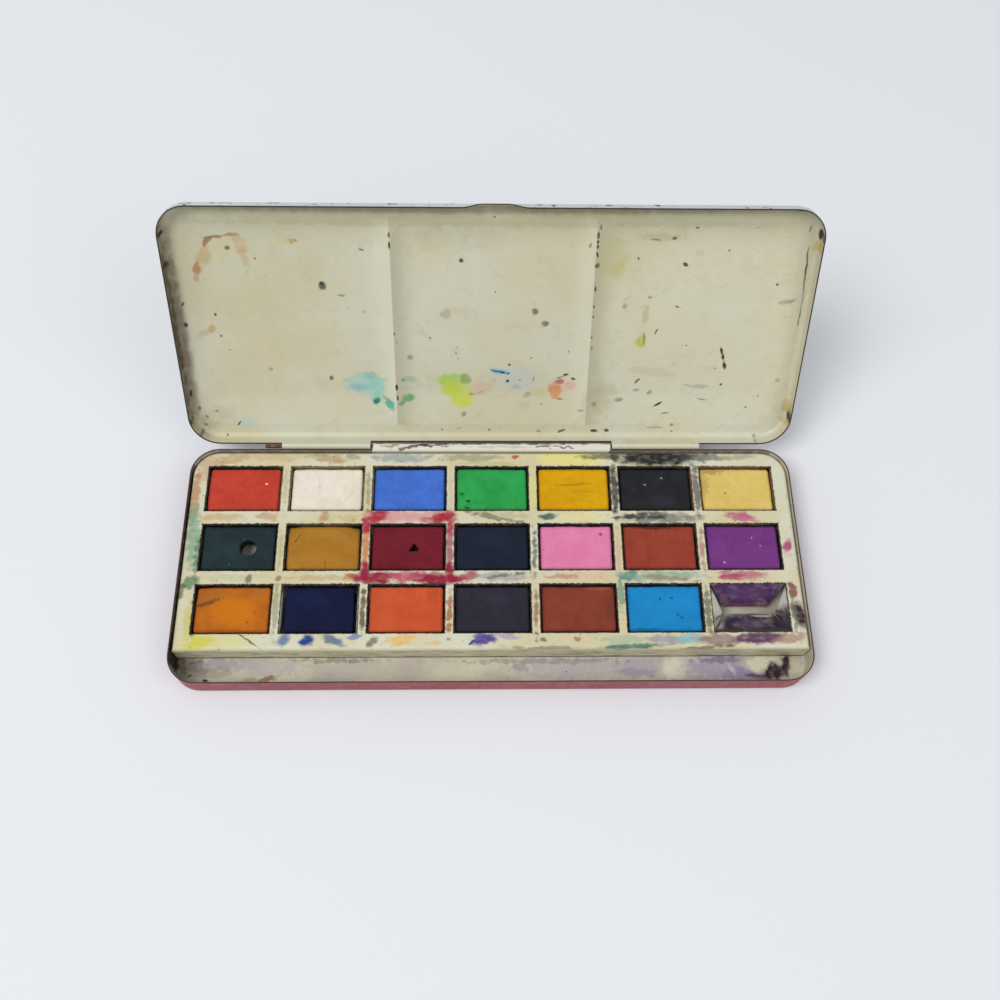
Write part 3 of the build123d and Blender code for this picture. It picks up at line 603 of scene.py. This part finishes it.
# %% Marks in the lid's right well
right_well = [
    (88, 8, 40, 42, "D9D7C0", 40, 2), (44.6, -28, 6, 9, "B7B385", 60, 4),
    (46, -23, 4, 3, "BDB878", 60, 5), (59.9, -34.5, 2, 0.4, "2A281E", 90, 4),
    (62, -35.4, 8, 1.6, "A9A57C", 50, 5), (66.9, -34.9, 0.9, 0.5, "3A3828", 85, 4),
    (74.8, -39.4, 0.7, 0.45, "1E1D18", 95, 2), (54.2, -27.2, 0.5, 0.7, "2A2920", 95, 2, -20),
    (72.4, -25, 1.1, 0.7, "2E2D24", 95, 2.5, 40), (87.9, -30.4, 0.5, 0.5, "77745F", 75, 3),
    (51, -8.2, 0.9, 1.3, "8B8870", 75, 5, 20), (59.9, -11.8, 0.8, 0.5, "807C64", 75, 4, -20),
    (58.9, -4.4, 1.2, 4.4, "B0B482", 70, 5), (70.9, -7.9, 0.9, 0.35, "66644E", 80, 3, 14),
    (107.8, -17.3, 0.5, 0.5, "26251E", 95, 2), (113, -11.1, 3.4, 0.9, "A3A28C", 80, 4, -16),
    (113.2, -11.1, 1.6, 0.3, "77766A", 70, 5, -16), (58, 6.2, 1.9, 3.4, "ACBC40", 90, 4, 8),
    (59.3, 5, 0.4, 2.4, "5E6E1E", 85, 5), (63.6, 2.4, 0.35, 1.3, "3E3C2E", 90, 3, 24),
    (90.3, 10.6, 0.55, 1.6, "15140F", 98, 3, -12), (91.3, 13.4, 0.6, 1.5, "15140F", 98, 3, -20),
    (92.3, 16.8, 0.65, 2, "15140F", 98, 2.5, -14), (92.1, 25.3, 0.5, 0.5, "1E1D18", 95, 2),
    (88.9, 18.2, 0.6, 0.5, "6E6C58", 80, 3), (82.8, 26.2, 5, 0.9, "A2A896", 70, 5, 2),
    (85.4, 32, 2, 0.3, "6C7058", 80, 4, 4), (67.3, 34, 2, 0.45, "1A190F", 97, 3, -26),
    (70.3, 37.9, 1.6, 0.3, "5C594A", 80, 3), (51.4, 32.3, 1.7, 1, "85806A", 80, 4),
    (41.3, 33.6, 1.5, 1.1, "5C583E", 85, 5, 10), (44, 31, 6, 6, "B2AD8C", 55, 5),
    (63.5, 29, 1.3, 0.7, "8A8A66", 75, 4, -30), (58.4, 23.7, 1.3, 0.4, "55533C", 85, 4, -50),
    (58.1, 28, 1.2, 0.6, "8E8A74", 70, 5), (64, 20, 9, 2, "BCB795", 50, 5, 8),
    (114, 22.3, 0.9, 1, "A09A80", 75, 4), (103.3, 35.4, 0.5, 0.5, "3C3A30", 90, 2),
    (107.7, 30, 0.5, 0.6, "8C8874", 70, 3), (41.9, 45.8, 1.4, 0.7, "141210", 97, 2),
    (47, 45.6, 0.9, 0.7, "1E1C17", 95, 2), (73.7, 42.9, 0.8, 0.7, "77756A", 80, 3),
    (66.5, 44.1, 3, 0.4, "8E8B70", 70, 5), (108.1, 47.6, 0.8, 0.8, "8A8672", 75, 4),
    (73.9, 45.8, 0.5, 0.4, "55503F", 80, 2),
]
print("marks in the right well:", len(right_well))

# %% Marks on the lid's ridges, skirt and corners
lid_edges = [
    # chips along the two ridges
    (-38, -36.3, 0.4, 1.1, "1C1813", 97, 2), (-38.1, -32.3, 0.45, 1.4, "1C1813", 97, 2),
    (-37.8, 25.9, 0.5, 1.5, "16120E", 97, 2), (-37.8, 30.7, 0.4, 1.2, "1C1813", 97, 2),
    (-37.9, 3, 0.3, 0.7, "55503F", 80, 3), (39.2, -39.8, 0.45, 1.1, "1C1813", 97, 2),
    (38.7, -36.7, 0.5, 1.3, "1C1813", 97, 2), (38.6, -34.2, 0.4, 0.7, "1C1813", 97, 2),
    (38.7, -32.2, 0.4, 0.8, "1C1813", 97, 2), (38.7, -29.3, 0.45, 1.3, "1C1813", 97, 2),
    (38.9, -25, 1, 1.1, "6E3420", 95, 2.5), (38.8, -15.7, 0.35, 0.9, "2A251E", 90, 2),
    (38.7, -8.5, 0.35, 0.6, "2A251E", 90, 2), (38.8, -4.6, 0.35, 0.6, "2A251E", 90, 2),
    (38.8, 4.4, 0.3, 0.5, "4A463A", 85, 2), (38.8, 8.8, 0.3, 0.7, "4A463A", 85, 2),
    # grime and painted shade on the left skirt
    (-121.2, 0, 4.2, 50, "7A6D58", 85, 1.2), (-121.4, 4, 1.6, 44, "4E4032", 90, 2.5),
    (-119.6, -42.2, 0.7, 0.6, "191411", 97, 3), (-120, -40, 0.5, 0.6, "191411", 95, 3),
    (-120.3, -37.4, 0.7, 0.8, "191411", 97, 3), (-120.2, -25.4, 0.6, 0.9, "3C3024", 85, 4),
    (-116.8, -9, 0.5, 1, "23201A", 90, 2, 24), (-116.8, -0.6, 0.7, 0.9, "2E2820", 90, 3),
    (-119.2, 28.6, 0.5, 1.6, "1E1712", 95, 3), (-120.3, 39.8, 0.6, 1.8, "1E1712", 95, 3),
    (-115.5, 42.8, 0.7, 0.6, "1E1A15", 95, 2), (-117.1, 45.4, 0.9, 0.9, "1E1712", 95, 3),
    (-115, 43, 4, 4, "A39B86", 50, 5),
    # the right skirt is cleaner; the last two marks are painted shade along the front skirt and the
    # ledge
    (120.2, -38, 0.9, 1.9, "1A1611", 97, 4), (121, -34, 0.7, 1.6, "1A1611", 97, 4),
    (119.4, -33.2, 1.2, 2.2, "B89A52", 70, 5), (112.6, -47.4, 1.8, 0.8, "1A1611", 97, 3, -30),
    (116.2, -39.6, 0.35, 1.2, "6C6650", 80, 3), (117.3, -22, 0.35, 10, "37342A", 90, 3, -3),
    (118.1, -7, 0.3, 6, "55503F", 85, 4), (120.8, 37.5, 1, 3.2, "17130D", 97, 3.5),
    (118.8, 33.6, 1.5, 2.6, "BDA05A", 70, 5), (119, 40, 1.4, 1.2, "C4A462", 60, 5),
    (117.4, 46.9, 0.5, 0.9, "26221A", 90, 3), (0, -47, 118, 2.6, "86825F", 65, 1.5),
    (0, -41.4, 114, 2.2, "B0AB87", 55, 3),
]
lid_marks = left_well + middle_well + right_well + lid_edges
print("marks in the lid:", len(lid_marks))

# %% Sizes of the lid that its material needs
hinge_y, hinge_z, lid_open = 49.7, 11, math.radians(121.5)
lid_half_x, lid_half_y, lid_corner = 120.6, 48.6, 11.6
lid_edge, ledge_level = 11.1, 17.3
ridge_x, flank_width = 38.04, 9
well_half_y, right_well_x = 43, 42
tab_near, tab_far = 49, 84.6
print("the lid is open by", round(math.degrees(lid_open), 1), "degrees")

# %% The lid's enamel
lid_enamel, add, shader = start_material("cream_enamel_palette_lid")
turn_back = partial(add, "VectorRotate", rotation_type="X_AXIS", Angle=lid_open)
point = turn_back(millimetre_point(add), (0, hinge_y, hinge_z))
wander = wandering_point(add, point, 4, 1.2)
rough = rough_value(add, point, 3.5)
x, y, z = add("SeparateXYZ", point).node.outputs
off_side = add("ABSOLUTE", x)

patches = add("TexNoise", point, Scale=1 / 35, Detail=4)
smears = add("TexNoise", point, Scale=1 / 7, Detail=6, Roughness=0.65, Distortion=0.6)
cream = two_tone(add, patches, 0.38, 0.62, "CCCBB6", "C9C3A4")
cream = two_tone(add, smears, 0.55, 0.75, cream, "A9A48A", most=0.4)
# painted shade round the wells' edges and under the ledge, in the half towards the free edge
painted_ledge_shade = add("MapRange", z, ledge_level + 1, ledge_level - 0.6, 0, 0.45)
painted_ledge_shade = add("MULTIPLY", painted_ledge_shade, add("MapRange", y, 25, -15))
cream = add("MixRGB", painted_ledge_shade, cream, "B4AF90")
# painted shade in the crease on the right of each rib, and painted light on the left flank
right_of_rib = add("SUBTRACT", add("WRAP", x, 3 * ridge_x, ridge_x), ridge_x)
in_wells = add("LESS_THAN", add("ABSOLUTE", y), well_half_y)
at_ribs = add("MULTIPLY", in_wells, add("LESS_THAN", off_side, ridge_x + 20))
for start, end, most, tone in ((flank_width, 0, 0.42, "A39E80"),
                               (2 * ridge_x - flank_width, 2 * ridge_x, 0.45, "D9DAC6")):
    share = add("MapRange", right_of_rib, start, end, 0, most, interpolation_type="SMOOTHSTEP")
    cream = add("MixRGB", add("MULTIPLY", at_ribs, share), cream, tone)
inside = lay_marks(add, cream, wander, rough, lid_marks)

# sparse specks everywhere, and fine scratches slanting across the right well
inside = lay_specks(add, inside, wander, 7.5, 0.38, 0.3, "3A372F")
inside = lay_specks(add, inside, point, 3.7, 0.22, 0.14, "5E594B")
slanted = add("VectorRotate", point, (0, 0, 0), rotation_type="Z_AXIS", Angle=math.radians(35))
scratch_noise = streak_noise(add, slanted, (0.09, 2.2, 1), Detail=2)
scratch = add("MapRange", scratch_noise, 0.69, 0.73, 0, 0.55)
in_right_well = add("GREATER_THAN", x, right_well_x)
inside = add("MixRGB", add("MULTIPLY", scratch, in_right_well), inside, "8C8872")

# the outside: the face looks up when the lid is closed, or lies on the skirt's outer outline
normal = turn_back(add("TexCoord", out="Normal"), (0, 0, 0))
facing_up = add("GREATER_THAN", add("SeparateXYZ", normal, out=2), 0.02)
corner_reach = reach_from_corner(add, x, y, lid_half_x, lid_half_y, lid_corner)
on_skirt = add("GREATER_THAN", corner_reach, lid_corner - sheet / 2)
before_tabs = add("LESS_THAN", y, lid_half_y + 0.02)
outside = add("MAXIMUM", facing_up, add("MULTIPLY", on_skirt, before_tabs))
pale = two_tone(add, patches, 0.35, 0.65, "D4D6D6", "C9CBC8")
pale = two_tone(add, smears, 0.6, 0.74, pale, "8F8F88", most=0.35)
pale = lay_specks(add, pale, wander, 6, 0.4, 0.2, "3F3C38")
pale = add("MixRGB", scratch, pale, "9FA19E")
# handling wears the bend round the top through to brown steel, in chips
on_bend = add("MapRange", corner_reach, lid_corner - 4, lid_corner - 1.2)
chip_noise = add("TexNoise", point, Scale=1 / 4, Detail=6, Roughness=0.7)
chips = add("MapRange", add("MULTIPLY_ADD", on_bend, 0.08, chip_noise), 0.66, 0.7)
pale = add("MixRGB", add("MULTIPLY", chips, on_bend), pale, "5B4A3E")
painted = add("MixRGB", outside, inside, pale)

# the cut edge is bare steel: low all round, high over the knuckle, and none where the tabs leave
at_rear = add("GREATER_THAN", y, lid_half_y - 1)
over_knuckle = add("MULTIPLY", at_rear, add("LESS_THAN", off_side, tab_near))
edge_height = add("MULTIPLY_ADD", over_knuckle, -1.6, z)
ragged_height = add("MULTIPLY_ADD", rough, 0.06, edge_height)
edge_line = add("MapRange", ragged_height, lid_edge + 0.42, lid_edge + 0.28)
at_tabs = add("MULTIPLY", add("GREATER_THAN", off_side, tab_near),
              add("LESS_THAN", off_side, tab_far))
no_tab = add("SUBTRACT", 1, add("MULTIPLY", at_tabs, at_rear))
edge_line = add("MULTIPLY", edge_line, add("MULTIPLY", before_tabs, no_tab))
skin = add("MULTIPLY_ADD", rough, 0.01, patches)
painted = add("MixRGB", edge_line, painted, "2A2522")
gloss = add("MapRange", smears, 0.35, 0.75, 0.34, 0.6)
finish_surface(add, shader, painted, gloss, skin, depth=0.8 * MM, strength=0.5)
coat_part("lid", lid_enamel)

# %% [markdown]
# ## The hinge wire: drawn steel, rusted
# Plain drawn wire has no enamel. Its free end is brown with rust, in fine drifts along the wire.

# %% The hinge wire's rusted steel
rusted_steel, add, shader = start_material("rusted_drawn_steel_wire")
point = millimetre_point(add)
drifts = streak_noise(add, point, (0.35, 1.2, 1.2), Detail=5, Roughness=0.7)
by_rust = partial(add, "MapRange", drifts, 0.4, 0.55)
rusted = add("MixRGB", by_rust(), "6E5E52", "6B3A22")
set_inputs(shader, {"Metallic": by_rust(0.85, 0.1)})
finish_surface(add, shader, rusted, by_rust(0.4, 0.85), drifts, depth=0.2 * MM, strength=0.6)
coat_part("hinge_wire", rusted_steel)

# %% [markdown]
# ## The paint cakes: pressed pigment and gum
# Each cake is a block of pressed pigment with softened edges and an uneven, matt top that a wet
# brush has worn. A carved block could be sculpted by hand, or made from a cloud of points. Here one
# block is bevelled in edit mode, copied for each window and remeshed into small even faces, and
# each copy is dented at its own places by proportional moves and roughened by a little noise.

# %% Model the plain block
cake_low, cake_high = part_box("cake_white")
cake_size = cake_high - cake_low
trim = 0.02 * MM

def select_nothing(kind):
    bpy.ops.object.mode_set(mode="EDIT")
    bpy.ops.mesh.select_mode(type=kind)
    bpy.ops.mesh.select_all(action="DESELECT")
    bpy.ops.object.mode_set(mode="OBJECT")

def bevel_edges(piece, test, offset):
    select_nothing("EDGE")
    corners = piece.data.vertices
    for edge in piece.data.edges:
        edge.select = test(corners[edge.vertices[0]].co, corners[edge.vertices[1]].co)
    bpy.ops.object.mode_set(mode="EDIT")
    bpy.ops.mesh.bevel(offset=offset, segments=3, affect="EDGES")
    bpy.ops.object.mode_set(mode="OBJECT")

bpy.ops.object.select_all(action="DESELECT")
bpy.ops.mesh.primitive_cube_add(size=1, location=(0, 0, 0))
block = bpy.context.object
block.name = "cake_block"
block.scale = (cake_size.x - 2 * trim, cake_size.y - 2 * trim, cake_size.z - 2 * trim)
bpy.ops.object.transform_apply(location=True, rotation=True, scale=True)
# the four upright edges, then the edges round the top
bevel_edges(block, lambda a, b: abs(a.z - b.z) > MM, offset=1 * MM)
bevel_edges(block, lambda a, b: a.z > MM and b.z > MM, offset=0.6 * MM)
block_mm = [round(c / MM, 2) for c in block.dimensions]
print("block:", len(block.data.polygons), "faces,", block_mm, "mm")

# %% Wear and grain
grain = bpy.data.textures.new("pigment_grain", "CLOUDS")
grain.noise_scale = 2.2 * MM
grain.noise_depth = 3
settle = bpy.data.textures.new("pigment_settling", "CLOUDS")
settle.noise_scale = 9 * MM

def apply_modifier(piece, kind, **settings):
    bpy.context.view_layer.objects.active = piece
    modifier = piece.modifiers.new(kind.lower(), kind)
    for name, value in settings.items():
        setattr(modifier, name, value)
    bpy.ops.object.modifier_apply(modifier=modifier.name)

def dent(piece, x, y, depth, reach):
    select_nothing("VERT")
    top = max(v.co.z for v in piece.data.vertices)
    target = Vector((x, y, top))
    nearest = min(piece.data.vertices, key=lambda v: (v.co - target).length)
    nearest.select = True
    bpy.ops.object.mode_set(mode="EDIT")
    bpy.ops.transform.translate(value=(0, 0, -depth), use_proportional_edit=True,
                                use_proportional_connected=True,
                                proportional_edit_falloff="SMOOTH", proportional_size=reach)
    bpy.ops.object.mode_set(mode="OBJECT")

print("wear textures:", grain.name, settle.name)

# %% One cake from the block
def cut_hole(cake, centre, sides, radius, off_x):
    bpy.ops.mesh.primitive_cylinder_add(vertices=sides, radius=radius, depth=4 * cake_size.z,
                                        location=centre + Vector((off_x, 0, 0)))
    cutter = bpy.context.object
    apply_modifier(cake, "BOOLEAN", object=cutter, operation="DIFFERENCE", solver="EXACT")
    bpy.data.objects.remove(cutter)

def press_cake(node, dents, width, hole):
    low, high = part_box(node)
    centre = (low + high) / 2
    bpy.ops.object.select_all(action="DESELECT")
    cake = bpy.data.objects.new(node.replace("cake_", "pigment_"), block.data.copy())
    bpy.context.scene.collection.objects.link(cake)
    bpy.context.view_layer.objects.active = cake
    cake.select_set(True)
    cake.scale = (width, 1, 1)
    cake.location = centre
    bpy.ops.object.transform_apply(location=True, rotation=True, scale=True)
    if hole:
        cut_hole(cake, centre, *hole)
    apply_modifier(cake, "REMESH", mode="VOXEL", voxel_size=0.42 * MM, use_smooth_shade=True)
    for dx, dy, depth, reach in dents:
        dent(cake, centre.x + dx * MM, centre.y + dy * MM, depth * MM, reach * MM)
    apply_modifier(cake, "DISPLACE", texture=settle, strength=0.5 * MM, mid_level=0.5)
    apply_modifier(cake, "DISPLACE", texture=grain, strength=0.25 * MM, mid_level=0.5)
    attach(cake, "tray")
    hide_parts(node)
    return cake

print("every cake starts from", block.name)

# %% The cake's material
cake_rim_x, cake_rim_y = 14, 9.05

def pressed_pigment(node, main, second, rim_tone, marks):
    material, add, shader = start_material("pressed_pigment_" + node.replace("cake_", ""))
    low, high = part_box(node)
    centre = (low + high) / 2 / MM
    point = millimetre_point(add)
    wander = wandering_point(add, point, 1.6, 1.2)
    rough = rough_value(add, point, 0.9)
    clouds = add("TexNoise", point, Scale=1 / 7, Detail=5, Roughness=0.65, Distortion=0.5)
    tone = two_tone(add, clouds, 0.4, 0.62, main, second)
    in_place = [(centre.x + m[0], centre.y + m[1]) + m[2:] for m in marks]
    tone = lay_marks(add, tone, wander, rough, in_place)
    x, y, z = add("SeparateXYZ", point).node.outputs
    over_x = add("SUBTRACT", distance_from(add, x, centre.x), cake_rim_x)
    over_y = add("SUBTRACT", distance_from(add, y, centre.y), cake_rim_y)
    to_rim = add("MAXIMUM", over_x, over_y)
    ragged_rim = add("MULTIPLY_ADD", rough, 0.35, to_rim)
    tone = two_tone(add, ragged_rim, -1.1, 0.3, tone, rim_tone, most=0.85)
    top = high.z / MM
    # painted shade: the cake's sides below the top turn near black
    tone = two_tone(add, z, top - 0.75, top - 1.7, tone, "14110F", most=0.8)
    pits = add("TexNoise", point, Scale=1 / 0.7, Detail=4, Roughness=0.7)
    gloss = add("MapRange", clouds, 0.3, 0.7, 0.62, 0.86)
    finish_surface(add, shader, tone, gloss, pits, depth=0.25 * MM, strength=0.7, specular=0.12)
    return material

print("a cake's rim starts", cake_rim_x, "and", cake_rim_y, "mm from its centre")

# %% The twenty colours and their wear
# Each cake has its colour, a second one that clouds it, its rim's colour and its marks, placed from
# its own centre. The dents that follow give x, y, depth and reach in millimetres, and a cake that
# names none has one dip in its middle.
centre_dip = (1, 0, 0.35, 10)
cakes = {
    "vermilion": ("C44534", "B63D2F", "7A2A22", [
        (8.6, 2.4, 0.5, 0.4, "E8C8B0", 90, 2)]),
    "white": ("E9E0D4", "E2D6C4", "B8A888", [
        (-3, 1, 0.2, 2, "B8A890", 50, 5, 10), (9, -3, 4, 0.15, "B8A890", 50, 5, 50)],
        (-12, 8, 0.5, 4), (3, -1, 0.3, 9)),
    "cobalt_blue": ("4673D0", "4069C4", "274080", [
        (-1, -7.2, 0.14, 2.4, "22325E", 80, 3)]),
    "green": ("2FA350", "2A9648", "1A6334", [
        (-9.4, -5.2, 0.9, 0.7, "16482A", 95, 3), (-12, -2, 0.9, 0.7, "1A5A30", 90, 4, 30),
        (-9.8, -8.2, 1.1, 0.5, "16482A", 90, 4), (0.5, 1.5, 5.6, 3.8, "258E44", 50, 3)]),
    "golden_yellow": ("D8A40A", "CE980A", "8A6410", [
        (0, 2.2, 7, 0.5, "A87C14", 70, 8, 4), (4, -1, 5, 0.4, "B08414", 60, 8, -3)],
        (0, 1, 0.3, 8)),
    "black": ("212125", "282A2F", "111113", [
        (-4, 2, 0.3, 0.3, "A8A8AC", 80, 2), (3, 5, 0.35, 0.25, "A8A8AC", 80, 2),
        (2, -5.6, 5, 2.4, "303238", 60, 6)]),
    "pale_yellow": ("DDC372", "D6B964", "B0884A", [
        (-4.6, -1.6, 0.5, 0.4, "7A5C34", 80, 2), (-9, 8, 4.6, 1.4, "8A7448", 60, 9),
        (-12.6, 2, 1.6, 4.6, "A08A58", 50, 9), (6, -1, 0.2, 0.2, "8A6E3A", 80, 2)],
        (0, 0, 0.4, 10)),
    "viridian": ("1E2D30", "253639", "111819", [
        (-3, -7, 0.4, 0.3, "6A7C7C", 80, 4), (2, 3.4, 0.3, 0.3, "6A7C7C", 70, 4),
        (-2, -1, 6, 3, "2B3D40", 50, 7)], (3.5, 0, 0.5, 6)),
    "ochre": ("AB782B", "A37026", "5E431C", [
        (1, -7.4, 0.14, 2.2, "4E3818", 85, 3), (-10.4, 3.6, 0.35, 2.6, "6E4E1E", 80, 5, -34)],
        (-13, 9, 0.8, 5), (13, 9, 1.2, 6.5), (-14, -9, 0.8, 4), (14, -9, 0.8, 4)),
    "crimson": ("731F2B", "6B1A26", "3A1018", [
        (0, -4, 7, 2.4, "6A1A28", 60, 6)], (2.3, 0, 0.5, 5)),
    "indigo": ("191F2F", "1D2536", "0D1018", [
        (0, 3, 6, 2, "232B3C", 50, 6)]),
    "pink": ("E183AB", "DB7BA4", "9A5070", [
        (9.8, 5.6, 0.8, 0.6, "A0406C", 90, 3), (-12.6, -1, 0.3, 0.3, "7A4058", 80, 2)]),
    "red_brown": ("994130", "8F3A2B", "4E221A", [
        (-2, 8.6, 7.5, 1, "3A2420", 85, 6)], centre_dip, (-14, 8, 0.6, 4)),
    "violet": ("763A81", "6E3479", "3F2048", [
        (4, 4, 0.3, 0.3, "D0B8D4", 80, 3), (-8, -6.6, 0.4, 0.3, "D0B8D4", 80, 3),
        (7, 0.6, 0.3, 0.3, "C0A0C8", 80, 3)]),
    "orange_yellow": ("BC6A18", "AE5F1A", "63391A", [
        (0.5, -0.6, 9, 5.6, "CC7512", 80, 3), (-9, 5.8, 6, 3, "A0642A", 60, 6, 10),
        (-9.8, 2.6, 4.8, 0.9, "5E4026", 75, 5, 18), (9, 7, 5, 1.6, "A2682C", 60, 8),
        (0, -8.4, 12, 0.7, "A6501C", 70, 6), (6, -5, 0.4, 0.4, "7A4418", 80, 2),
        (8.6, -1.6, 0.3, 0.4, "7A4418", 80, 2)], (0, -1, 0.3, 9), (-13, 8, 0.5, 5)),
    "prussian_blue": ("0E1230", "131A3C", "080914", [
        (-3, 4, 6, 3, "14244E", 50, 6)]),
    "orange_red": ("CB5833", "C2502E", "6E3020", [
        (10, 6, 2.5, 1.6, "A64A30", 60, 8)]),
    "grey_black": ("292732", "2F2D3A", "15131A", [
        (2, 4, 4.4, 1.6, "383642", 50, 8)]),
    "brown": ("863E2C", "7E3828", "48231A", [
        (8, 8.2, 4, 0.9, "A8604A", 60, 8), (11.6, -1, 1.8, 3.4, "6E3830", 60, 8)]),
    "cerulean": ("1B87C6", "1980BC", "0E4C72", [
        (-1.4, 4, 0.6, 0.7, "12547E", 90, 4), (3, 4.2, 0.7, 0.5, "12547E", 90, 4, 30),
        (5, -2.6, 0.7, 0.6, "136294", 90, 4), (6.2, -3.6, 0.5, 0.4, "12547E", 90, 4),
        (-8, -8.2, 5, 0.5, "0E4C72", 60, 7)]),
}
# two cakes are worn through: sides, radius and place of the hole; and one has shrunk in its window
holes = {"viridian": (32, 3.25 * MM, 3.5 * MM), "crimson": (3, 2.6 * MM, 2.33 * MM)}
widths = {"prussian_blue": 0.93}
face_count = 0
for colour, (main, second, rim_tone, marks, *dents) in cakes.items():
    node = "cake_" + colour
    cake = press_cake(node, dents or [centre_dip], widths.get(colour, 1), holes.get(colour))
    coat(cake, pressed_pigment(node, main, second, rim_tone, marks))
    face_count += len(cake.data.polygons)
bpy.data.objects.remove(block)
print("cakes:", len(cakes), "with", face_count, "faces")
